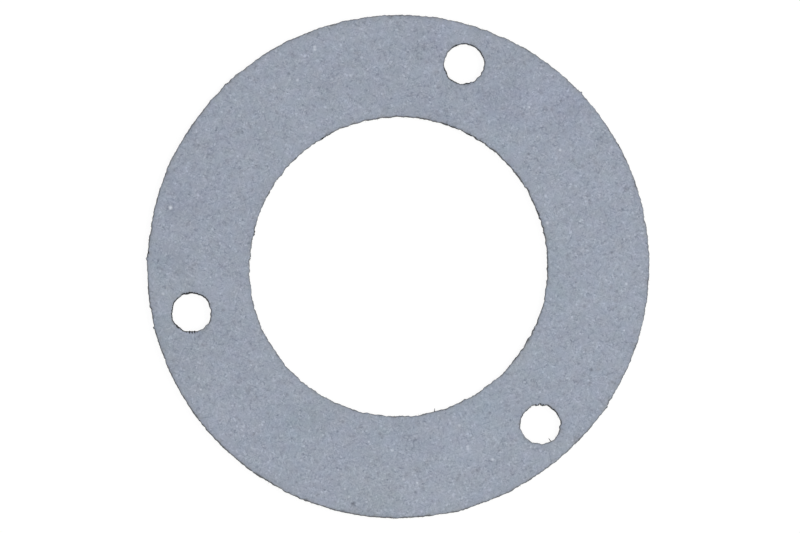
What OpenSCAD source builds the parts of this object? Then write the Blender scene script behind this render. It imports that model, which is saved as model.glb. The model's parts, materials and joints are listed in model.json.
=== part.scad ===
// Flat ring gasket for an injector's flange, die-cut in one piece from grey fibre sheet.
// It lies on its lower face, with the ring's axis along +Z and one bolt hole on +Y.

/* [Ring] */
// Outside diameter of the ring
outer_d = 86; // [74:0.5:130]
// Diameter of the central opening
opening_d = 51; // [20:0.5:62]
// Thickness of the sheet
thickness = 1.5; // [0.5:0.1:6]

/* [Bolt holes] */
// Diameter of each bolt hole
bolt_hole_d = 6.6; // [3:0.1:11]
// Width of sheet left between each bolt hole and the outside
rim_w = 3.45; // [1.5:0.05:9]
// Number of bolt holes, evenly spaced around the ring
bolt_count = 3; // [2:1:12]
// Direction of the first bolt hole, turning from +X towards +Y
first_hole_angle = 90; // [0:5:355]

/* [Cut edges] */
// Radius that the cutting die rolls onto every upper edge
edge_roll = 0.2; // [0.05:0.05:0.4]

/* [Hidden] */
$fn = 128;
outer_r = outer_d / 2;
opening_r = opening_d / 2;
bolt_hole_r = bolt_hole_d / 2;
// Radius of the circle that the hole centres lie on
bolt_circle_r = outer_r - rim_w - bolt_hole_r;
// Width of the sheet between the opening and the outside
band_w = outer_r - opening_r;
// Height at which the straight cut walls end and the rolled edges begin
roll_z = thickness - edge_roll;
// How far a cutter runs past the sheet's faces
cut_past = 1;
// Blue-grey of the pressed fibre
fibre_grey = [0.60, 0.63, 0.68];

// Half section of the ring: square lower corners, rolled upper corners
module ring_section() {
    translate([opening_r, 0])
        square([band_w, roll_z]);
    translate([opening_r + edge_roll, 0])
        square([band_w - 2 * edge_roll, thickness]);
    for (corner_x = [opening_r + edge_roll, outer_r - edge_roll])
        translate([corner_x, roll_z])
            circle(edge_roll);
}

// Half section of what a bolt hole takes away at its rolled mouth
module mouth_section() {
    difference() {
        translate([0, roll_z])
            square([bolt_hole_r + edge_roll, edge_roll + cut_past]);
        translate([bolt_hole_r + edge_roll, roll_z])
            circle(edge_roll);
    }
}

// One bolt hole, standing on the origin
module bolt_hole_cut() {
    translate([0, 0, -cut_past])
        cylinder(r = bolt_hole_r, h = thickness + 2 * cut_past);
    rotate_extrude()
        mouth_section();
}

module gasket() {
    color(fibre_grey)
        difference() {
            rotate_extrude()
                ring_section();
            for (i = [0 : bolt_count - 1])
                rotate([0, 0, first_hole_angle + i * 360 / bolt_count])
                    translate([bolt_circle_r, 0, 0])
                        bolt_hole_cut();
        }
}

gasket();
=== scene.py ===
"""Looks of a flat injector seal ring: die-cut blue-grey fibre sheet lying on a pale floor."""
import json
import math
from collections import namedtuple

import bpy
import numpy as np
from mathutils import Matrix, Vector, noise
from mathutils.geometry import delaunay_2d_cdt


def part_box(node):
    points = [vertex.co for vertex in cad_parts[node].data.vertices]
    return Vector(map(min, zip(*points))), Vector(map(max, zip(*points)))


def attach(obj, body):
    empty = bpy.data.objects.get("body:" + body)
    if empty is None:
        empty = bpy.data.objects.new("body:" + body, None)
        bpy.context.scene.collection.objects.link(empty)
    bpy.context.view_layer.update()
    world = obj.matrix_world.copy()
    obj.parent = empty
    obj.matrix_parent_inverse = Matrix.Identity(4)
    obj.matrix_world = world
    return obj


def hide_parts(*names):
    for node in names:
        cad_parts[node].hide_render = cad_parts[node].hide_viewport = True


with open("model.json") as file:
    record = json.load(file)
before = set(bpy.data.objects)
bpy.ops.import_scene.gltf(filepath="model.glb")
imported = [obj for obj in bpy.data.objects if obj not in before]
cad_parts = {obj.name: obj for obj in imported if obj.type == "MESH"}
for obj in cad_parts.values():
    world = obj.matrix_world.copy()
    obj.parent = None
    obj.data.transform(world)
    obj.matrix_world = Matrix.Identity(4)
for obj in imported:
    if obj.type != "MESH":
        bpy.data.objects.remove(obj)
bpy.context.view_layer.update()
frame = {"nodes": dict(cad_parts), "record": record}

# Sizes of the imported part, in millimetres
MM = 0.001
MOUNTS = {mount["name"]: mount for mount in frame["record"]["mounts"]}
OPENING_R = MOUNTS["opening"]["dims"]["r_mm"]
BOLT_CIRCLE_R = MOUNTS["bolt_holes"]["dims"]["pcd_mm"] / 2
HOLE_R = MOUNTS["bolt_holes"]["dims"]["hole_r_mm"]
HOLE_COUNT = MOUNTS["bolt_holes"]["dims"]["count"]
FIRST_HOLE = math.radians(90)
OUTER_R = max(math.hypot(v.co.x, v.co.y) for v in frame["nodes"]["gasket"].data.vertices) / MM
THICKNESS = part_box("gasket")[1].z / MM

# How the photograph sees the part. Its pixels are counted at their centres.
PHOTO_W = 800
PHOTO_H = 533
RING_R_PX = 251.6
METRES_PER_PX = OUTER_R * MM / RING_R_PX
# Where the middle of the upper face falls: a little off the outline's middle, because the camera leans
AXIS_PX = (398.1, 265.6)
# Direction of the photograph's right, as a turn from the part's +X
PHOTO_TURN = math.radians(17.83)


def photo_way(degrees):
    """Direction in the part's frame, in radians, of a direction in the photograph."""
    return math.radians(degrees) + PHOTO_TURN


# Out-of-round of the cut sheet: its share of the radius, and the direction in which it is widest
OVAL = 0.0042
OVAL_TURN = photo_way(56)

# Raggedness of the cut edges: wavelength and height of each layer of noise, in millimetres
LONG_LAYERS = ((16.0, 0.08), (7.0, 0.09), (3.2, 0.09))
SHORT_LAYERS = ((1.5, 0.085),)
FINE_LAYERS = ((0.7, 0.06), (0.34, 0.04))
# Layers whose crests are sharp, as torn paper is
LONG_CRESTS = ((4.2, 0.10),)
SHORT_CRESTS = ((1.9, 0.10),)
FINE_CRESTS = ((0.9, 0.06),)
# About the mean size of the noise, which brings the crests back to zero on the whole
CREST_MEAN = 0.2

# What each cut edge has of its own: point spacing, set-back, strength of its long, short and fine
# raggedness, and the seed of its noise
Cut = namedtuple("Cut", "step set_back long short fine seed")
CUTS = {
    "outside": Cut(0.13, 0.0, 0.35, 0.8, 1.5, 60.9),
    "opening": Cut(0.11, 0.05, 0.35, 1.0, 1.9, 87.3),
    "hole_0": Cut(0.07, 0.09, 0.0, 0.15, 1.3, 128.2),
    "hole_1": Cut(0.07, 0.007, 0.0, 0.15, 1.3, 14.7),
    "hole_2": Cut(0.07, 0.07, 0.0, 0.2, 1.7, 28.5),
}
# How far the die cut each edge off its true place, in millimetres right and up in the photograph
CUT_SHIFT = {
    "outside": (0.0, 0.0),
    "opening": (0.005, -0.06),
    "hole_0": (0.01, 0.085),
    "hole_1": (0.04, -0.205),
    "hole_2": (0.05, -0.20),
}
# Lumps and hollows of the cut edges that stand out in the photograph: direction there and half width in
# degrees, and height in millimetres
LUMPS = {
    "outside": (
        (11, 2.5, -0.11), (20, 3, -0.05), (28, 3, -0.06), (35, 4, -0.04), (50, 4, -0.06), (60, 3, 0.08),
        (67, 2, -0.10), (71, 4, 0.06), (82, 1.5, 0.16), (95, 4, 0.06), (104, 3, 0.05), (118, 6, 0.06),
        (131, 3, 0.08), (143, 7, -0.05), (155, 4, 0.08), (171, 3, -0.06), (178, 4, 0.08), (183, 3, -0.07),
        (189, 0.8, 0.14), (230, 9, -0.05), (240, 4, -0.04), (252, 3, -0.06), (284.5, 4, 0.18),
        (289, 3, 0.05), (296, 3, 0.09), (315, 3, -0.06), (320, 1.5, 0.09), (325, 4, 0.12),
    ),
    "opening": (
        (0, 6, 0.05), (13, 2, 0.11), (25, 6, 0.09), (31, 1.5, -0.13), (54, 4, -0.10), (62, 5, -0.07),
        (72, 3, -0.05), (79, 3, 0.09), (93, 6, -0.07), (105, 6, -0.05), (121, 3, 0.03), (142, 3, 0.07),
        (152, 8, 0.06), (167, 3, 0.05), (172, 3, 0.08), (176, 3, 0.04), (187, 4, 0.07), (193, 3, -0.07),
        (198, 4, 0.07), (205, 4, -0.07), (215, 4, 0.05), (222, 4, -0.12), (228, 4, -0.08), (235, 4, -0.12),
        (255, 4, -0.14), (276, 5, -0.09), (282, 3, 0.06), (292, 2.5, 0.10), (297, 3, 0.03), (307, 5, 0.13),
        (321, 5, 0.07), (329, 5, 0.13), (345, 5, -0.14), (352, 5, 0.07),
    ),
    "hole_0": (
        (5, 20, -0.11), (118, 8, -0.04), (182, 9, -0.05), (204, 11, 0.12), (223, 13, -0.13),
        (259, 11, -0.07), (277, 10, 0.07), (291, 5, 0.12), (312, 9, 0.12), (334, 6, 0.09), (345, 7, -0.05),
    ),
    "hole_1": (
        (10, 6, -0.05), (20, 11, 0.10), (42, 13, -0.06), (72, 20, 0.08), (84, 6, 0.03), (103, 10, 0.07),
        (116, 9, -0.09), (152, 14, -0.06), (173, 14, 0.05), (203, 16, -0.10), (228, 15, 0.09),
        (268, 17, 0.08), (287, 5, -0.09), (306, 12, -0.09), (318, 5, 0.04), (331, 16, -0.12), (357, 9, 0.10),
    ),
    "hole_2": (
        (9, 18, -0.16), (55, 9, 0.12), (69, 8, -0.06), (84, 9, 0.16), (92, 5, -0.10), (99, 8, 0.16),
        (116, 11, -0.10), (131, 9, 0.09), (188, 18, -0.12), (206, 6, -0.05), (216, 5, 0.04),
        (235, 14, 0.06), (265, 12, 0.14), (276, 7, 0.06), (316, 14, -0.13), (331, 9, -0.09),
        (340, 7, -0.06), (353, 9, 0.12),
    ),
}

# Dark stretches of the cut edges, torn fibre and painted shade: direction in the photograph and half width
# in degrees, how far they stand proud and how far their dark reaches onto the face in millimetres, and how
# far they break into beads
Torn = namedtuple("Torn", "loop angle width height reach beads")
# The wide, flat stretches at 48 to 62 degrees on the holes and at 21 and 66 degrees on the opening are
# painted shade, where the walls face away from the lamps
TORN_AND_SHADE = (
    Torn("hole_0", 62, 64, 0.0, 0.15, 0.3),
    Torn("hole_0", 116, 14, 0.0, 0.17, 0.2),
    Torn("hole_0", 222, 54, 0.0, 0.27, 0.3),
    Torn("hole_0", 278, 12, 0.02, 0.28, 0.1),
    Torn("hole_0", 300, 16, 0.0, 0.18, 0.4),
    Torn("hole_1", 62, 66, 0.0, 0.20, 0.3),
    Torn("hole_1", 102, 24, 0.0, 0.27, 0.3),
    Torn("hole_1", 195, 90, 0.0, 0.24, 0.3),
    Torn("hole_1", 226, 9, 0.0, 0.34, 0.1),
    Torn("hole_1", 271, 22, 0.07, 0.44, 1.0),
    Torn("hole_2", 48, 38, 0.0, 0.15, 0.3),
    Torn("hole_2", 140, 30, 0.0, 0.14, 0.5),
    Torn("hole_2", 92, 24, 0.05, 0.30, 1.0),
    Torn("outside", 194.0, 0.35, 0.26, 0.10, 0.3),
    Torn("outside", 178.2, 0.35, 0.22, 0.10, 0.3),
    Torn("outside", 326.0, 0.40, 0.22, 0.10, 0.3),
    Torn("outside", 43.5, 0.35, 0.24, 0.10, 0.3),
    Torn("outside", 133.8, 0.40, 0.10, 0.10, 0.3),
    Torn("outside", 176.8, 0.6, 0.0, 0.26, 0.2),
    Torn("outside", 28.6, 1.6, 0.0, 0.20, 0.5),
    Torn("outside", 25.4, 0.6, 0.0, 0.18, 0.3),
    Torn("opening", 21.0, 4.0, 0.0, 0.16, 0.6),
    Torn("opening", 66.0, 12.0, 0.0, 0.14, 0.7),
    Torn("opening", 121.0, 1.2, 0.05, 0.26, 0.3),
    Torn("opening", 166.8, 1.5, 0.20, 0.22, 0.4),
    Torn("opening", 176.0, 1.4, 0.20, 0.12, 0.6),
    Torn("opening", 296.6, 0.8, 0.14, 0.12, 0.6),
)
# Heights in millimetres between which the dark of torn fibre and painted shade along an upper edge fades out
# down its wall
TORN_AND_SHADE_END = 0.5
TORN_AND_SHADE_START = 1.0
# Beads of torn fibre: their spacing in millimetres, how far they stray from it in radians of their row, the
# length of that straying in beads, and how sharply one is set off from the next
BEAD = 0.46
BEAD_STRAY = 4
BEAD_STRAY_WAVE = 3
BEAD_CONTRAST = 0.9

# Rows of points down a cut edge: inset from the wall and height above the floor in millimetres, share of the
# edge's raggedness, and how far the row belongs to the cut wall
Row = namedtuple("Row", "inset height share cut")
ROLLED_EDGE = (
    Row(0.60, THICKNESS, 0.30, 0.0),
    Row(0.36, THICKNESS - 0.012, 0.60, 0.04),
    Row(0.20, THICKNESS - 0.035, 0.85, 0.20),
    Row(0.09, THICKNESS - 0.085, 1.0, 0.58),
    Row(0.03, THICKNESS - 0.17, 1.0, 0.95),
)
LOWER_EDGE = (
    Row(0.015, 0.04, 1.0, 1.0),
    Row(0.06, 0.0, 1.0, 0.7),
    Row(0.32, 0.0, 0.6, 0.08),
)
WALL_TOP = THICKNESS - 0.32
WALL_FOOT = 0.14
WALL_ROWS = 6
# How much of the raggedness changes down a wall
DRAG = 0.2

# Points of the faces: inset of each ring along a cut edge in millimetres with how many of the edge's points
# share one of its points, then the inset from which an even grid takes over, its step, and the distance
# below which two points are one
FACE_RINGS = ((0.95, 2), (1.4, 4))
GRID_INSET = 1.8
FACE_STEP = 0.7
SAME_POINT = 1e-9
# Relief of the pressed upper face: wavelength and height of each layer in millimetres, and its seed
RELIEF_LAYERS = ((9.0, 0.012), (3.0, 0.010), (1.5, 0.008))
RELIEF_SEED = 5.7

# The two fibres that stand out far enough to be seen: direction in the photograph in degrees, length in
# millimetres, lean in degrees from the wall's normal, and radius
Whisker = namedtuple("Whisker", "loop angle length lean radius")
WHISKERS = (
    Whisker("opening", 283.9, 0.50, 14, 0.10),
    Whisker("hole_2", 302.5, 0.52, -12, 0.10),
)
# Heights of the fibres' roots, as shares of the thickness
WHISKER_HEIGHT = 0.85
FIBRE_HEIGHTS = (0.15, 0.85)
# The short fibres along the walls: spacing, lengths and radii in millimetres, and spread of their lean along
# the wall and of their rise in radians
FIBRE_SEED = 7
FIBRE_SPACING = 1.6
FIBRE_LENGTHS = (0.10, 0.26)
FIBRE_RADII = (0.012, 0.026)
FIBRE_LEAN = 0.6
FIBRE_RISE = 0.35
# How deep a fibre is rooted in the sheet in millimetres, its bend and taper as shares of its length and
# radius, and the rings and sides of its tube
ROOTED = 0.3
FIBRE_BEND = 0.12
FIBRE_TAPER = 0.55
FIBRE_RINGS = 4
FIBRE_SIDES = 5

Loop = namedtuple("Loop", "name centre radius side count")
Fibre = namedtuple("Fibre", "loop angle height length lean rise radius")
# The mesh as it grows, in millimetres. Each point has three masks: how far it belongs to a cut wall, how far
# the dark of torn fibre and painted shade reaches onto the face there, and the point's own distance from the
# cut edge.
Sheet = namedtuple("Sheet", "verts faces cuts torns insets")


def cut_loops():
    """The five cut edges, with the side on which the free space lies: 1 outside the circle, -1 inside it."""
    def loop(name, true_place, radius, side):
        centre = Vector(true_place) + Matrix.Rotation(PHOTO_TURN, 2) @ Vector(CUT_SHIFT[name])
        return Loop(name, tuple(centre), radius, side, int(2 * math.pi * radius / CUTS[name].step))

    loops = [loop("outside", (0, 0), OUTER_R, 1), loop("opening", (0, 0), OPENING_R, -1)]
    for i in range(HOLE_COUNT):
        turn = FIRST_HOLE + i * 2 * math.pi / HOLE_COUNT
        true_place = (BOLT_CIRCLE_R * math.cos(turn), BOLT_CIRCLE_R * math.sin(turn))
        loops.append(loop(f"hole_{i}", true_place, HOLE_R, -1))
    return loops


def edge_section():
    """Rows of a cut edge: over the rolled upper edge, down the wall and under the lower edge."""
    wall = [Row(0.0, height, 1.0, 1.0) for height in np.linspace(WALL_TOP, WALL_FOOT, WALL_ROWS)]
    return [*ROLLED_EDGE, *wall, *LOWER_EDGE]


def layered_noise(point, layers, offset):
    """Sum of noise layers at a point in millimetres."""
    shift = Vector((offset, -offset, 2 * offset))
    return sum(height * noise.noise(point / wave + shift) for wave, height in layers)


def crests(point, layers, offset):
    """Sum of noise layers with sharp crests, about zero on the whole."""
    shift = Vector((2 * offset, offset, -offset))
    return sum(height * (CREST_MEAN - abs(noise.noise(point / wave + shift))) for wave, height in layers)


def turn_between(a, b):
    """Size of the turn from one direction to another, from 0 to pi."""
    return abs((a - b + math.pi) % (2 * math.pi) - math.pi)


def torn_and_shade_here(loop, angle, bead):
    """The dark stretches of a cut edge, ripped fibre and painted shade, each with its strength in a
    direction. It fades out to its ends.
    """
    found = []
    for t in TORN_AND_SHADE:
        if t.loop == loop.name:
            off = turn_between(angle, photo_way(t.angle)) / math.radians(t.width)
            window = min(1.0, 2 * max(0.0, 1 - off))
            found.append((t, window * (1 - t.beads * (1 - bead))))
    return found


def bead_here(loop, angle, at):
    """Row of uneven beads along a cut edge: 1 on a bead, and 0 between two."""
    stray = BEAD_STRAY * noise.noise(at / (BEAD_STRAY_WAVE * BEAD))
    phase = 2 * math.pi * loop.radius * angle / BEAD + stray
    return max(0.0, min(1.0, 0.5 + BEAD_CONTRAST * math.sin(phase)))


def lumps_here(loop, angle):
    """How far the lumps and hollows of a cut edge stand proud in a direction, in millimetres."""
    total = 0.0
    for middle, width, height in LUMPS[loop.name]:
        off = turn_between(angle, photo_way(middle)) / math.radians(width)
        total += height * 0.5 * (1 + math.cos(math.pi * min(1.0, off)))
    return total


def raggedness(cut, at):
    """How far a cut edge stands proud at a point, in millimetres."""
    long = layered_noise(at, LONG_LAYERS, cut.seed) + crests(at, LONG_CRESTS, cut.seed)
    short = layered_noise(at, SHORT_LAYERS, cut.seed) + crests(at, SHORT_CRESTS, cut.seed)
    fine = layered_noise(at, FINE_LAYERS, cut.seed) + crests(at, FINE_CRESTS, cut.seed)
    return cut.long * long + cut.short * short + cut.fine * fine - cut.set_back


def on_circle(loop, radius, angle):
    """Point at a radius around a cut edge's middle."""
    return loop.centre[0] + radius * math.cos(angle), loop.centre[1] + radius * math.sin(angle)


def loop_rows(loop, rows):
    """Points of one cut edge, row by row, each with how far the dark of ripped fibre and painted shade
    reaches onto the face there.
    """
    places, torns = [], []
    for row in rows:
        skin = min(1.0, max(0.0, (row.height - TORN_AND_SHADE_END) / (TORN_AND_SHADE_START - TORN_AND_SHADE_END)))
        for k in range(loop.count):
            angle = 2 * math.pi * k / loop.count
            at = Vector((*on_circle(loop, loop.radius, angle), DRAG * row.height))
            torn = torn_and_shade_here(loop, angle, bead_here(loop, angle, at))
            proud = raggedness(CUTS[loop.name], at) + lumps_here(loop, angle)
            proud += max(t.height * strength for t, strength in torn)
            radius = loop.radius + loop.side * (row.share * proud - row.inset)
            places.append((*on_circle(loop, radius, angle), row.height))
            torns.append(skin * max(t.reach * strength for t, strength in torn))
    return places, torns


def depth_in(p, loops):
    """How far a point of the sheet lies from the nearest cut edge."""
    return min(loop.side * (loop.radius - math.dist(p, loop.centre)) for loop in loops)


def face_points(loops):
    """Points inside a face: rings that grow coarser away from each edge, then an even triangular grid."""
    points = []
    for loop in loops:
        for inset, every in FACE_RINGS:
            count = loop.count // every
            for k in range(count):
                angle = 2 * math.pi * (k + 0.5) / count
                points.append(on_circle(loop, loop.radius - loop.side * inset, angle))
    rise = FACE_STEP * math.sqrt(3) / 2
    reach = int(OUTER_R / rise) + 1
    for j in range(-reach, reach + 1):
        for i in range(-reach, reach + 1):
            p = ((i + 0.5 * (j % 2)) * FACE_STEP, j * rise)
            if depth_in(p, loops) > GRID_INSET:
                points.append(p)
    return points


def inside(p, loops, rims):
    """Is a point on the sheet's side of every rim? A rim is a closed line of points around its loop."""
    for loop, rim in zip(loops, rims):
        count = len(rim)
        angle = math.atan2(p[1] - loop.centre[1], p[0] - loop.centre[0]) % (2 * math.pi)
        k = int(angle / (2 * math.pi) * count) % count
        a, b = rim[k], rim[(k + 1) % count]
        cross = (b[0] - a[0]) * (p[1] - a[1]) - (b[1] - a[1]) * (p[0] - a[0])
        if cross * loop.side < 0:
            return False
    return True


def fill_face(loops, rims):
    """Triangles between the rims, as indices into the rims' points followed by the face's own points."""
    flat = [(x, y) for rim in rims for x, y in rim]
    edges, start = [], 0
    for rim in rims:
        edges += [(start + k, start + (k + 1) % len(rim)) for k in range(len(rim))]
        start += len(rim)
    inner = face_points(loops)
    points = [Vector(p) for p in flat + inner]
    made = delaunay_2d_cdt(points, edges, [], 0, SAME_POINT)
    verts, faces, origins = made[0], made[2], made[3]
    triangles = []
    for face in faces:
        middle = sum((verts[i] for i in face), Vector((0, 0))) / 3
        if inside(middle, loops, rims):
            triangles.append([origins[i][0] for i in face])
    return inner, triangles


def strip_faces(loop, row_count, start):
    """Quads between the rows of a cut edge, whose first point has the index start."""
    quads = []
    for j in range(row_count - 1):
        near, far = start + j * loop.count, start + (j + 1) * loop.count
        for k in range(loop.count):
            nxt = (k + 1) % loop.count
            quad = (near + k, far + k, far + nxt, near + nxt)
            quads.append(quad if loop.side > 0 else quad[::-1])
    return quads


def add_edges(sheet, loops, rows):
    """Adds the cut edges to the sheet. Gives the index of each edge's first point."""
    starts = []
    for loop in loops:
        start = len(sheet.verts)
        starts.append(start)
        places, torns = loop_rows(loop, rows)
        sheet.verts.extend(places)
        sheet.torns.extend(torns)
        for row in rows:
            sheet.cuts.extend([row.cut] * loop.count)
            sheet.insets.extend([row.inset] * loop.count)
        sheet.faces.extend(strip_faces(loop, len(rows), start))
    return starts


def add_face(sheet, loops, starts, row, upper):
    """Adds the upper or lower face to the sheet, inside the points that this row of the cut edges has."""
    rims = [range(s + row * loop.count, s + (row + 1) * loop.count) for s, loop in zip(starts, loops)]
    inner, triangles = fill_face(loops, [[sheet.verts[i][:2] for i in rim] for rim in rims])
    ids = [i for rim in rims for i in rim]
    ids += range(len(sheet.verts), len(sheet.verts) + len(inner))
    for x, y in inner:
        sheet.verts.append((x, y, THICKNESS if upper else 0.0))
        sheet.cuts.append(0.0)
        sheet.torns.append(0.0)
        sheet.insets.append(depth_in((x, y), loops))
    for triangle in triangles:
        a, b, c = (ids[i] for i in triangle)
        sheet.faces.append((a, b, c) if upper else (c, b, a))


def standing_fibres(loops):
    """The fibres that stand out of the cut edges: the two long ones and many short ones, drawn at random."""
    draw = np.random.default_rng(FIBRE_SEED)
    named = {loop.name: loop for loop in loops}
    fibres = [Fibre(named[w.loop], photo_way(w.angle), WHISKER_HEIGHT * THICKNESS, w.length,
                    math.radians(w.lean), 0.0, w.radius) for w in WHISKERS]
    for loop in loops:
        for _ in range(int(2 * math.pi * loop.radius / FIBRE_SPACING)):
            angle = draw.uniform(0, 2 * math.pi)
            height = draw.uniform(*FIBRE_HEIGHTS) * THICKNESS
            length = draw.uniform(*FIBRE_LENGTHS)
            lean = draw.normal(0, FIBRE_LEAN)
            rise = draw.normal(0, FIBRE_RISE)
            fibres.append(Fibre(loop, angle, height, length, lean, rise, draw.uniform(*FIBRE_RADII)))
    return fibres


def fibre_line(fibre):
    """Root of a fibre inside the sheet, and the direction in which it grows."""
    out = Vector((math.cos(fibre.angle), math.sin(fibre.angle), 0)) * fibre.loop.side
    along = Vector((-math.sin(fibre.angle), math.cos(fibre.angle), 0))
    rise = Vector((0, 0, math.sin(fibre.rise)))
    way = (out * math.cos(fibre.lean) + along * math.sin(fibre.lean) + rise).normalized()
    depth = fibre.loop.side * fibre.loop.radius - ROOTED
    return Vector((*fibre.loop.centre, fibre.height)) + out * depth, way


def add_fibre(sheet, fibre):
    """Adds one tapered fibre with a slight bend to the sheet, as a closed tube from its root."""
    root, way = fibre_line(fibre)
    side = way.cross(Vector((0, 0, 1))).normalized()
    up = side.cross(way).normalized()
    length = fibre.length + ROOTED
    start = len(sheet.verts)
    for ring in range(FIBRE_RINGS):
        t = ring / (FIBRE_RINGS - 1)
        middle = root + way * (length * t) + side * (FIBRE_BEND * length * t * t)
        r = fibre.radius * (1 - FIBRE_TAPER * t)
        for k in range(FIBRE_SIDES):
            a = 2 * math.pi * k / FIBRE_SIDES
            sheet.verts.append(tuple(middle + side * (r * math.cos(a)) + up * (r * math.sin(a))))
            sheet.cuts.append(1.0)
            sheet.torns.append(1.0)
            sheet.insets.append(0.0)
    for ring in range(FIBRE_RINGS - 1):
        near, far = start + ring * FIBRE_SIDES, start + (ring + 1) * FIBRE_SIDES
        for k in range(FIBRE_SIDES):
            nxt = (k + 1) % FIBRE_SIDES
            sheet.faces.append((near + k, near + nxt, far + nxt, far + k))
    tip = start + (FIBRE_RINGS - 1) * FIBRE_SIDES
    sheet.faces.append(tuple(start + k for k in reversed(range(FIBRE_SIDES))))
    sheet.faces.append(tuple(tip + k for k in range(FIBRE_SIDES)))


def pressed(sheet):
    """The sheet's points in metres, with the relief of the upper face, and stretched out of round."""
    places = []
    wide, slant = OVAL * math.cos(2 * OVAL_TURN), OVAL * math.sin(2 * OVAL_TURN)
    for (x, y, z), cut in zip(sheet.verts, sheet.cuts):
        if z > THICKNESS / 2:
            z -= (1 - cut) * abs(layered_noise(Vector((x, y, 0)), RELIEF_LAYERS, RELIEF_SEED))
        place = (x * (1 + wide) + y * slant, x * slant + y * (1 - wide), z)
        places.append(tuple(c * MM for c in place))
    return places


def build_sheet():
    """The gasket as one closed mesh with its fibres."""
    loops, rows = cut_loops(), edge_section()
    sheet = Sheet([], [], [], [], [])
    starts = add_edges(sheet, loops, rows)
    add_face(sheet, loops, starts, 0, upper=True)
    add_face(sheet, loops, starts, len(rows) - 1, upper=False)
    for fibre in standing_fibres(loops):
        add_fibre(sheet, fibre)
    mesh = bpy.data.meshes.new("gasket_sheet")
    mesh.from_pydata(pressed(sheet), [], sheet.faces)
    for name, values in (("cut", sheet.cuts), ("torn", sheet.torns), ("inset", sheet.insets)):
        mesh.attributes.new(name, "FLOAT", "POINT").data.foreach_set("value", values)
    mesh.polygons.foreach_set("use_smooth", [True] * len(mesh.polygons))
    mesh.validate()
    built = bpy.data.objects.new("gasket_sheet", mesh)
    bpy.context.scene.collection.objects.link(built)
    return built


# Unevenness of the patches' outlines: waves to the millimetre, and detail
WANDER_SCALE = 0.3
WANDER_DETAIL = 3.0


class Nodes:
    """Short calls for building a node tree."""

    def __init__(self, tree):
        self.tree = tree
        tree.nodes.clear()

    def add(self, kind, links=None, **settings):
        """A new node: settings are its properties, and links its inputs, as sockets or plain values."""
        made = self.tree.nodes.new(kind)
        for key, value in settings.items():
            setattr(made, key, value)
        for key, value in (links or {}).items():
            if isinstance(value, bpy.types.NodeSocket):
                self.tree.links.new(value, made.inputs[key])
            else:
                made.inputs[key].default_value = value
        return made

    def maths(self, operation, a, b=0.0, c=0.0, clamp=False):
        """Result of a sum on up to three values."""
        made = self.add("ShaderNodeMath", {0: a, 1: b, 2: c}, operation=operation, use_clamp=clamp)
        return made.outputs[0]

    def noise(self, at, scale, detail=2.0, roughness=0.5):
        """Noise from 0 to 1, about a half on the whole."""
        links = {"Vector": at, "Scale": scale, "Detail": detail, "Roughness": roughness}
        return self.add("ShaderNodeTexNoise", links).outputs["Fac"]

    def swayed(self, value, at, scale, weight):
        """A value moved up and down by a plain noise."""
        lowered = self.maths("SUBTRACT", value, weight / 2)
        return self.maths("MULTIPLY_ADD", self.noise(at, scale, 0.0), weight, lowered)

    def remap(self, value, low, high, to_low=0.0, to_high=1.0):
        """A value taken from one range to another, and kept inside it."""
        made = self.add("ShaderNodeMapRange", {0: value, 1: low, 2: high, 3: to_low, 4: to_high})
        return made.outputs[0]

    def mix(self, share, a, b):
        """Colour a, with a share of colour b."""
        made = self.add("ShaderNodeMix", {0: share, 6: a, 7: b}, data_type="RGBA")
        return made.outputs[2]

    def attribute(self, name):
        """One of the mesh's masks."""
        return self.add("ShaderNodeAttribute", attribute_name=name).outputs["Fac"]

    def place(self):
        """Object coordinates in metres."""
        return self.add("ShaderNodeTexCoord").outputs["Object"]

    def millimetres(self, turn=0.0, stretch=(1, 1, 1)):
        """Object coordinates in millimetres, for a pattern that is stretched and then turned about +Z."""
        scale = tuple(s * MM for s in stretch)
        links = {"Vector": self.place(), "Rotation": (0, 0, turn), "Scale": scale}
        return self.add("ShaderNodeMapping", links, vector_type="TEXTURE").outputs["Vector"]

    def cells(self, at, scale):
        """Small cells: the distance from the middle of the nearest, and two random values of its own."""
        cell = self.add("ShaderNodeTexVoronoi", {"Vector": at, "Scale": scale, "Randomness": 1.0})
        chance = self.add("ShaderNodeSeparateColor", {0: cell.outputs["Color"]})
        return cell.outputs["Distance"], chance.outputs["Red"], chance.outputs["Green"]

    def wandering(self, reach):
        """Object coordinates shifted at random by a few millimetres, for patches with uneven outlines."""
        links = {"Vector": self.millimetres(), "Scale": WANDER_SCALE, "Detail": WANDER_DETAIL}
        drift = self.add("ShaderNodeTexNoise", links).outputs["Color"]
        centred = self.add("ShaderNodeVectorMath", {0: drift, 1: (0.5, 0.5, 0.5)}, operation="SUBTRACT")
        links = {0: centred.outputs[0], 1: (reach * MM, reach * MM, 0.0), 2: self.place()}
        return self.add("ShaderNodeVectorMath", links, operation="MULTIPLY_ADD").outputs[0]


def linear(red, green, blue):
    """A colour given as 8-bit sRGB values, as the linear values that a shader takes."""
    def one(value):
        share = value / 255
        return share / 12.92 if share <= 0.04045 else ((share + 0.055) / 1.055) ** 2.4

    return one(red), one(green), one(blue), 1.0


def from_photo(px, py):
    """Place on the upper face, in metres, of a pixel of the photograph."""
    x, y = (px - AXIS_PX[0]) * METRES_PER_PX, (AXIS_PX[1] - py) * METRES_PER_PX
    turned = Matrix.Rotation(PHOTO_TURN, 2) @ Vector((x, y))
    return turned.x, turned.y, THICKNESS * MM


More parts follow.
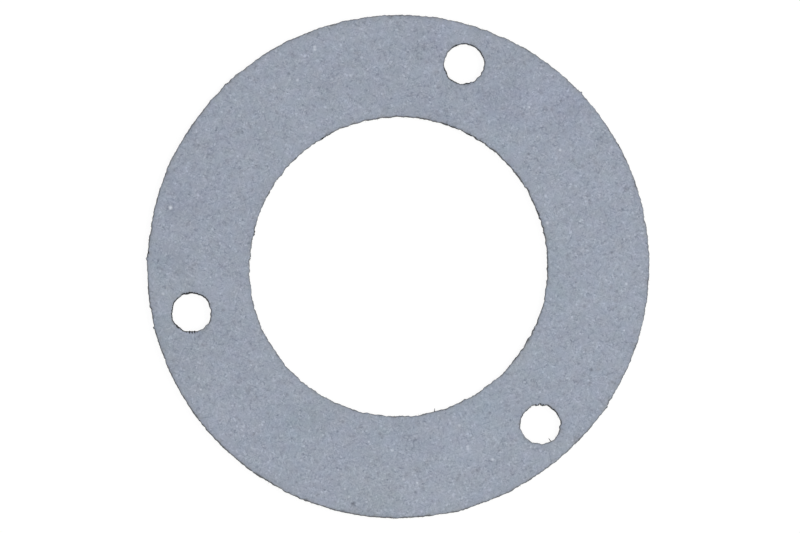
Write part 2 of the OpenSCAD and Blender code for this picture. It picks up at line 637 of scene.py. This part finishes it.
# Light and dark inclusions that stand out in the photograph: pixel, radius in millimetres and strength
LIGHT_FLECKS = (
    (170, 207.6, 0.46, 1.3), (314, 46, 0.36, 0.9), (314, 48.5, 0.36, 0.9), (492, 459, 0.37, 0.9),
    (467, 446, 0.33, 0.7), (467.3, 448.5, 0.33, 0.7), (547, 222, 0.37, 0.9), (560, 149, 0.36, 0.8),
    (297, 79.4, 0.34, 0.8), (626, 283, 0.34, 0.8), (392, 450, 0.33, 0.75), (459, 425, 0.33, 0.7),
    (403, 479, 0.33, 0.7), (162.6, 293.8, 0.36, 0.7), (350, 74.2, 0.33, 0.7), (629, 235, 0.33, 0.6),
)
DARK_SPECKS = (
    (352.5, 503.5, 0.56, 1.3), (528, 153, 0.42, 1.0), (288, 73, 0.35, 0.8), (591, 369, 0.42, 1.2),
    (415, 492, 0.37, 0.9), (198, 145, 0.36, 0.9), (601, 136, 0.36, 0.9), (170, 207.8, 0.9, 0.5),
    (611.6, 251.6, 0.36, 0.9),
)
# Share of an inclusion's radius within which it has its full strength
INCLUSION_CORE = 0.25

# Soft patches of the face, seen in the photograph: pixel, radius in millimetres and strength
DARK_PATCHES = (
    (167, 264, 5.0, 0.75), (493, 94, 7.0, 1.2), (186, 196, 6.0, 0.9), (428, 46, 5.0, 1.0),
    (441, 103, 5.0, 1.1), (182, 350, 5.0, 0.25), (195, 153, 5.0, 0.45), (575, 110, 7.0, 0.5),
    (169, 337, 4.5, 0.7), (604, 134, 3.0, 1.0),
)
PALE_PATCHES = (
    (455, 452, 7.0, 0.8), (612, 293, 9.0, 0.6), (438, 493, 7.0, 0.75), (554, 191, 6.0, 0.65),
    (615, 186, 6.0, 0.6), (200, 294, 7.0, 0.8), (578, 237, 5.0, 0.7), (294, 383, 4.0, 0.7),
)
TEAL_PATCHES = (
    (290, 424, 6.0, 1.0), (481, 403, 6.0, 1.0), (553, 288, 6.0, 1.0), (500, 135, 5.0, 0.8),
    (389, 435, 5.0, 0.7), (156, 262, 3.5, 0.8), (158, 334, 4.0, 0.9), (547, 369, 5.0, 0.6),
    (551, 248, 5.0, 0.8), (380, 511, 4.0, 0.7),
)
VIOLET_PATCHES = (
    (563, 100, 8.0, 1.0), (503, 97, 7.0, 0.65), (195, 200, 7.0, 0.65), (437, 39, 6.0, 0.5),
)
TAN_PATCHES = (
    (378, 496, 9.0, 1.0), (170, 284, 5.0, 0.6), (314, 411, 6.0, 0.5), (193, 375, 7.0, 0.5),
    (571, 443, 4.0, 0.9), (520, 356, 4.5, 0.9), (549, 237, 4.0, 0.9), (160, 336, 4.0, 0.9),
    (451, 508, 4.0, 0.8),
)

# Smaller inclusions, strewn at random: cells to the millimetre, share of the cells that hold one, and its
# smallest and largest radius in cells
Strewn = namedtuple("Strewn", "cells share small large")
LIGHT_STREWN = Strewn(0.7, 0.07, 0.10, 0.19)
DARK_STREWN = Strewn(0.75, 0.05, 0.09, 0.17)
# How steeply a strewn spot fades in from its rim, and the turn that keeps the dark ones off the light ones
STREWN_FADE = 2.0
DARK_TURN = 0.8


def spots(n, at, places, core=0.0):
    """Share of single spots on the upper face, each even in its core and fading out from there."""
    found = []
    for px, py, radius, strength in places:
        far = n.add("ShaderNodeVectorMath", {0: at, 1: from_photo(px, py)}, operation="DISTANCE")
        found.append(n.remap(far.outputs["Value"], radius * MM, core * radius * MM, 0.0, strength))
    total = found[0]
    for spot in found[1:]:
        total = n.maths("MAXIMUM", total, spot)
    return total


def scattered(n, at, strewn):
    """Share of the spots that are strewn at random, each of a random size and strength."""
    distance, chance, strength = n.cells(at, strewn.cells)
    size = n.remap(chance, 0.0, strewn.share, strewn.small, strewn.large)
    chosen = n.maths("LESS_THAN", chance, strewn.share)
    near = n.maths("SUBTRACT", 1.0, n.maths("DIVIDE", distance, size), clamp=True)
    soft = n.maths("MULTIPLY", near, STREWN_FADE, clamp=True)
    return n.maths("MULTIPLY", n.maths("MULTIPLY", soft, chosen), strength)


# Where a value starts and ends to count, and what it becomes at those two ends
Ramp = namedtuple("Ramp", "low high to_low to_high", defaults=(0.0, 1.0))

# Tone of the pressed face: grains to the millimetre and weight of each layer of noise
GRAIN_LAYERS = ((4.2, 0.41), (2.1, 0.18))
TONE_LAYERS = ((0.9, 0.07), (0.42, 0.07), (0.16, 0.09), (0.05, 0.06))
# Single granules to the millimetre, and the random values that make one pale or deep
GRANULES = 3.2
PALE_GRANULES = Ramp(0.90, 1.0, 0.0, 0.30)
DEEP_GRANULES = Ramp(0.09, 0.0, 0.0, 0.23)
# Where the grain is quiet or busy: scale and detail of the noise, and its strength there
BUSY_NOISE = (0.6, 1.0)
BUSY = Ramp(0.34, 0.66, 0.45, 1.55)
# Single strands in the face: lie in degrees in the photograph, size in millimetres, and pale and deep ones
STRAND_LIES = (20, 65, 110, 155)
STRAND_SIZE = (1.2, 0.26, 1.0)
PALE_STRANDS = Ramp(0.70, 0.84, 0.0, 0.19)
DEEP_STRANDS = Ramp(0.30, 0.16, 0.0, 0.19)
# Long faint streaks: lie in degrees in the photograph, and length, width and weight of each layer
STREAK_LIE = 18
STREAK_LAYERS = ((5.0, 1.3, 0.10), (2.6, 0.62, 0.07))
# How far the outlines of the tone and hue patches wander in millimetres, and what the tone patches add
TONE_WANDER = 5.0
HUE_WANDER = 6.0
PALE_PATCH_TONE = 0.08
DARK_PATCH_TONE = -0.10


def face_grain(n, flat):
    """Fine grain of the face, about zero: pale and deep granules over two layers of noise."""
    granule = n.cells(flat, GRANULES)[1]
    grain = n.maths("SUBTRACT", n.remap(granule, *PALE_GRANULES), n.remap(granule, *DEEP_GRANULES))
    for scale, weight in GRAIN_LAYERS:
        grain = n.swayed(grain, flat, scale, weight)
    return grain


def face_tone(n, flat):
    """Light and dark of the face, about a half: broad tones, strands, and grain that is busy in places."""
    busy = n.remap(n.noise(flat, *BUSY_NOISE), *BUSY)
    tone = n.maths("MULTIPLY_ADD", face_grain(n, flat), busy, 0.5)
    for scale, weight in TONE_LAYERS:
        tone = n.swayed(tone, flat, scale, weight)
    for lie in STRAND_LIES:
        strand = n.noise(n.millimetres(photo_way(lie), STRAND_SIZE), 1.0, 0.0)
        shift = n.maths("SUBTRACT", n.remap(strand, *PALE_STRANDS), n.remap(strand, *DEEP_STRANDS))
        tone = n.maths("ADD", tone, shift)
    for length, width, weight in STREAK_LAYERS:
        streak = n.noise(n.millimetres(photo_way(STREAK_LIE), (length, width, 1.0)), 1.0, 1.0)
        tone = n.maths("MULTIPLY_ADD", n.maths("SUBTRACT", streak, 0.5), weight, tone)
    uneven = n.wandering(TONE_WANDER)
    tone = n.maths("MULTIPLY_ADD", spots(n, uneven, PALE_PATCHES), PALE_PATCH_TONE, tone)
    return n.maths("MULTIPLY_ADD", spots(n, uneven, DARK_PATCHES), DARK_PATCH_TONE, tone, clamp=True)


# Colours of the face at its darkest and lightest tone
FACE_DARK = linear(123.5, 131.2, 145.4)
FACE_LIGHT = linear(179.6, 187.2, 201.4)
# Faint drifts of hue: scale and detail of the noise, and what its two ends multiply the colour by
HueDrift = namedtuple("HueDrift", "scale detail low high")
HUE_DRIFTS = (
    HueDrift(0.5, 1.0, (0.986, 1.003, 1.0), (1.014, 0.997, 1.0)),
    HueDrift(0.45, 2.0, (1.0, 1.0, 0.978), (1.0, 1.0, 1.022)),
)
HUE_ENDS = Ramp(0.3, 0.7)
# What the patches of another hue multiply the face's colour by
UNCHANGED = (1.0, 1.0, 1.0)
TEAL = (0.966, 1.003, 1.0)
VIOLET = (1.004, 0.994, 1.033)
TAN = (1.004, 1.001, 0.963)
# Colours of the inclusions, and how far they cover the face
SPECK_COLOUR = linear(92, 98, 108)
SPECK_COVER = 0.55
FLECK_COLOUR = linear(216, 222, 232)
FLECK_COVER = 0.6
# The face along a cut edge: how much of its change is left one millimetre in, its brown stretches, where a
# noise puts them, and the painted shade that darkens it towards the edge
NEAR_FALL = 0.11
NEAR_BROWN = linear(156, 153, 143)
NEAR_BROWN_COVER = 0.4
BROWN_NOISE = (0.7, 2.0)
BROWN_PLACES = Ramp(0.5, 0.66)
NEAR_PAINTED_SHADE = linear(96, 100, 106)
NEAR_PAINTED_SHADE_COVER = 0.22


def tinted(n, colour, hue, low, high):
    """A colour multiplied by a tint that lies between two."""
    tint = n.mix(hue, low + (1,), high + (1,))
    made = n.add("ShaderNodeMix", {0: 1.0, 6: colour, 7: tint}, data_type="RGBA", blend_type="MULTIPLY")
    return made.outputs[2]


def with_inclusions(n, flat, face):
    """The face's colour with its dark specks and light flecks."""
    place = n.place()
    flecks = spots(n, place, LIGHT_FLECKS, INCLUSION_CORE)
    specks = spots(n, place, DARK_SPECKS, INCLUSION_CORE)
    light = n.maths("MAXIMUM", scattered(n, flat, LIGHT_STREWN), flecks)
    dark = n.maths("MAXIMUM", scattered(n, n.millimetres(DARK_TURN), DARK_STREWN), specks)
    face = n.mix(n.maths("MULTIPLY", dark, SPECK_COVER), face, SPECK_COLOUR)
    return n.mix(n.maths("MULTIPLY", light, FLECK_COVER), face, FLECK_COLOUR)


def face_colour(n, flat, tone):
    """Blue-grey face with its inclusions, faint shifts of hue, and painted shade that darkens it towards the
    cut edges.
    """
    face = n.mix(tone, FACE_DARK, FACE_LIGHT)
    for drift in HUE_DRIFTS:
        hue = n.remap(n.noise(flat, drift.scale, drift.detail), *HUE_ENDS)
        face = tinted(n, face, hue, drift.low, drift.high)
    uneven = n.wandering(HUE_WANDER)
    for patches, tint in ((TEAL_PATCHES, TEAL), (VIOLET_PATCHES, VIOLET), (TAN_PATCHES, TAN)):
        face = tinted(n, face, spots(n, uneven, patches), UNCHANGED, tint)
    face = with_inclusions(n, flat, face)
    near = n.maths("POWER", NEAR_FALL, n.attribute("inset"))
    brown = n.maths("MULTIPLY", near, n.remap(n.noise(flat, *BROWN_NOISE), *BROWN_PLACES))
    face = n.mix(n.maths("MULTIPLY", brown, NEAR_BROWN_COVER), face, NEAR_BROWN)
    # Painted shade: the face grows darker towards the cut edges
    return n.mix(n.maths("MULTIPLY", near, NEAR_PAINTED_SHADE_COVER), face, NEAR_PAINTED_SHADE)


# Cut walls: flattened layers between two greys, and paler and nearly black strands among them
STRATA_SIZE = (1.0, 1.0, 0.22)
STRATA_NOISE = (1.7, 4.0, 0.65)
STRATA = Ramp(0.32, 0.70)
STRATA_DARK = linear(46, 48, 51)
STRATA_LIGHT = linear(112, 114, 117)
WALL_STRAND_SIZE = (1.0, 1.0, 0.12)
WALL_STRAND_NOISE = (2.6, 1.0)
PALE_WALL_STRANDS = Ramp(0.64, 0.76, 0.0, 0.6)
PALE_WALL_COLOUR = linear(160, 156, 148)
BLACK_WALL_STRANDS = Ramp(0.36, 0.24, 0.0, 0.7)
BLACK_WALL_COLOUR = linear(30, 31, 33)


def core_colour(n):
    """Layered, fibrous grey of the cut walls, and the pattern of its layers."""
    strata = n.noise(n.millimetres(0.0, STRATA_SIZE), *STRATA_NOISE)
    core = n.mix(n.remap(strata, *STRATA), STRATA_DARK, STRATA_LIGHT)
    strands = n.noise(n.millimetres(0.0, WALL_STRAND_SIZE), *WALL_STRAND_NOISE)
    core = n.mix(n.remap(strands, *PALE_WALL_STRANDS), core, PALE_WALL_COLOUR)
    return n.mix(n.remap(strands, *BLACK_WALL_STRANDS), core, BLACK_WALL_COLOUR), strata


# Border between face and wall: the noise that breaks it up, its reach in the mask, and the border's two ends
BORDER_NOISE = (1.0, 3.0, 0.6)
BORDER_REACH = 1.6
BORDER = Ramp(0.15, 0.9)
# Width in millimetres over which the dark of torn fibre and painted shade ends on the face, and the reach
# that gives it its full depth
TORN_AND_SHADE_SOFT = 0.07
TORN_AND_SHADE_EDGE = Ramp(-TORN_AND_SHADE_SOFT / 2, TORN_AND_SHADE_SOFT / 2)
TORN_AND_SHADE_FULL = Ramp(0.0, 0.10)
# Near-black of torn fibre, and of the painted shade where walls face away from the lamps
TORN_AND_SHADE_COLOUR = linear(26, 28, 31)
TORN_AND_SHADE_COVER = 0.85
# Bump of the grain and of the walls' layers, and gloss: lighter grain is a little smoother
BUMP_STRENGTH = 0.5
BUMP_MM = 0.03
STRATA_BUMP = 2.0
ROUGHNESS = Ramp(0.2, 0.8, 0.9, 0.74)
SPECULAR = 0.3


def torn_and_shade_share(n):
    """Where the dark of ripped fibre and painted shade lies, from 0 to 1."""
    over = n.maths("SUBTRACT", n.attribute("torn"), n.attribute("inset"))
    return n.maths("MULTIPLY", n.remap(over, *TORN_AND_SHADE_EDGE), n.remap(n.attribute("torn"), *TORN_AND_SHADE_FULL))


def fibre_material():
    """Pressed blue-grey fibre: fine grain, short strands and flecks on the faces, dark fibrous cut edges,
    and painted shade on the face along them.
    """
    material = bpy.data.materials.new("pressed_fibre")
    material.use_nodes = True
    n = Nodes(material.node_tree)
    flat = n.millimetres()
    tone = face_tone(n, flat)
    core, strata = core_colour(n)
    broken = n.maths("MULTIPLY_ADD", n.noise(flat, *BORDER_NOISE), BORDER_REACH, -BORDER_REACH / 2)
    wall = n.remap(n.maths("ADD", n.attribute("cut"), broken), *BORDER)
    # Painted shade: near-black where walls face away from the lamps, together with the dark of torn fibre
    torn = torn_and_shade_share(n)
    cut = n.maths("MAXIMUM", wall, torn)
    dark_core = n.mix(n.maths("MULTIPLY", torn, TORN_AND_SHADE_COVER), core, TORN_AND_SHADE_COLOUR)
    colour = n.mix(cut, face_colour(n, flat, tone), dark_core)
    layers = n.maths("MULTIPLY", n.maths("MULTIPLY", strata, cut), STRATA_BUMP)
    height = n.maths("ADD", tone, layers)
    bump = n.add("ShaderNodeBump", {"Strength": BUMP_STRENGTH, "Distance": BUMP_MM * MM, "Height": height})
    shader = n.add("ShaderNodeBsdfPrincipled", {
        "Base Color": colour,
        "Roughness": n.remap(tone, *ROUGHNESS),
        "Specular IOR Level": SPECULAR,
        "Normal": bump.outputs[0],
    })
    n.add("ShaderNodeOutputMaterial", {"Surface": shader.outputs[0]})
    return material


# The floor: half its width in metres, and how far it lies below the part in millimetres, so that the two
# faces don't flicker into each other
FLOOR_HALF = 1.5
FLOOR_GAP = 0.02
# What the floor shows: a glow, and a little of the light that falls on it, which a shadow takes away
FLOOR_GLOW = 0.93
FLOOR_SHADED = (0.10, 0.10, 0.10, 1)
# Light of the surroundings, and the white that they show
WORLD_LIGHT = 0.53
WORLD_SHOWN = 1.0
WHITE = (1, 1, 1, 1)


def seen_directly(n):
    """1 for a ray that shows the background, straight, in a reflection or through glass, and 0 for light."""
    path = n.add("ShaderNodeLightPath").outputs
    seen = n.maths("MAXIMUM", path["Is Camera Ray"], path["Is Glossy Ray"])
    return n.maths("MAXIMUM", seen, path["Is Transmission Ray"])


def floor_material():
    """White floor that keeps a faint shadow, and that is clear when seen from below."""
    material = bpy.data.materials.new("pale_floor")
    material.use_nodes = True
    n = Nodes(material.node_tree)
    shaded = n.add("ShaderNodeBsdfDiffuse", {"Color": FLOOR_SHADED})
    glow = n.add("ShaderNodeEmission", {"Strength": FLOOR_GLOW})
    white = n.add("ShaderNodeAddShader", {0: shaded.outputs[0], 1: glow.outputs[0]})
    clear = n.add("ShaderNodeBsdfTransparent")
    below = n.add("ShaderNodeNewGeometry").outputs["Backfacing"]
    shows = n.maths("MULTIPLY", seen_directly(n), n.maths("SUBTRACT", 1.0, below))
    both = n.add("ShaderNodeMixShader", {0: shows, 1: clear.outputs[0], 2: white.outputs[0]})
    n.add("ShaderNodeOutputMaterial", {"Surface": both.outputs[0]})
    return material


def build_floor():
    """Pale floor under the part. It lets the light of the surroundings through to the part's lower face."""
    half, z = FLOOR_HALF, -FLOOR_GAP * MM
    corners = [(-half, -half, z), (half, -half, z), (half, half, z), (-half, half, z)]
    mesh = bpy.data.meshes.new("floor")
    mesh.from_pydata(corners, [], [(0, 1, 2, 3)])
    floor = bpy.data.objects.new("floor", mesh)
    bpy.context.scene.collection.objects.link(floor)
    floor.visible_diffuse = False
    floor.visible_shadow = False
    mesh.materials.append(floor_material())


def build_world():
    """White surroundings that give most of the light."""
    world = bpy.data.worlds.new("studio")
    world.use_nodes = True
    bpy.context.scene.world = world
    n = Nodes(world.node_tree)
    light = n.add("ShaderNodeBackground", {"Color": WHITE, "Strength": WORLD_LIGHT})
    shown = n.add("ShaderNodeBackground", {"Color": WHITE, "Strength": WORLD_SHOWN})
    both = n.add("ShaderNodeMixShader", {0: seen_directly(n), 1: light.outputs[0], 2: shown.outputs[0]})
    n.add("ShaderNodeOutputWorld", {"Surface": both.outputs[0]})


def aim(obj, target, up):
    """Turns a lamp or camera at a point, with the given direction upwards in its view."""
    back = (obj.location - target).normalized()
    right = up.cross(back).normalized()
    turned = Matrix((right, back.cross(right), back)).transposed()
    obj.rotation_euler = turned.to_euler()


def sky_way(photo_angle, height):
    """Direction from the part, by its angle in the photograph and its height above the floor in degrees."""
    turn, rise = photo_way(photo_angle), math.radians(height)
    return Vector((math.cos(rise) * math.cos(turn), math.cos(rise) * math.sin(turn), math.sin(rise)))


# Soft square lamps: angle in the photograph and height above the floor in degrees, distance and size in
# metres, and the share of the plain light level that each gives the upper face
Lamp = namedtuple("Lamp", "name photo_angle height distance size share")
LAMPS = (
    Lamp("key", 10, 50, 1.3, 0.6, 0.28),
    Lamp("fill", 300, 55, 1.3, 1.0, 0.14),
    Lamp("back", 200, 35, 1.3, 1.0, 0.05),
)


def add_lamp(lamp):
    """One lamp, aimed at the part."""
    data = bpy.data.lights.new(lamp.name, "AREA")
    data.size = lamp.size
    data.energy = lamp.share * math.pi ** 2 * lamp.distance ** 2 / math.sin(math.radians(lamp.height))
    made = bpy.data.objects.new(lamp.name, data)
    bpy.context.scene.collection.objects.link(made)
    made.location = sky_way(lamp.photo_angle, lamp.height) * lamp.distance
    aim(made, Vector((0, 0, 0)), Vector((0, 0, 1)))


# Long lens, in millimetres, and how far the camera leans from straight above, towards which side of the
# photograph, in degrees
LENS = 600
SENSOR = 36
CAMERA_LEAN = 4.0
CAMERA_SIDE = 238


def build_camera():
    """Camera almost straight above the part, leaning a little to the photograph's lower left."""
    data = bpy.data.cameras.new("camera")
    data.lens = LENS
    data.sensor_width = SENSOR
    camera = bpy.data.objects.new("camera", data)
    bpy.context.scene.collection.objects.link(camera)
    distance = LENS / SENSOR * PHOTO_W * METRES_PER_PX
    right = Vector((math.cos(PHOTO_TURN), math.sin(PHOTO_TURN), 0))
    up = Vector((-right.y, right.x, 0))
    centre = Vector((0, 0, THICKNESS * MM))
    middle = ((PHOTO_W - 1) / 2, (PHOTO_H - 1) / 2)
    target = centre + METRES_PER_PX * (right * (middle[0] - AXIS_PX[0]) + up * (AXIS_PX[1] - middle[1]))
    camera.location = target + sky_way(CAMERA_SIDE, 90 - CAMERA_LEAN) * distance
    aim(camera, target, up)
    bpy.context.scene.camera = camera


def dress_part():
    """The detailed sheet takes the place of the plain CAD ring."""
    sheet = build_sheet()
    sheet.data.materials.append(fibre_material())
    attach(sheet, "root")
    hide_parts("gasket")


dress_part()
build_floor()
build_world()
for lamp in LAMPS:
    add_lamp(lamp)
build_camera()
bpy.context.scene.view_settings.view_transform = "Standard"
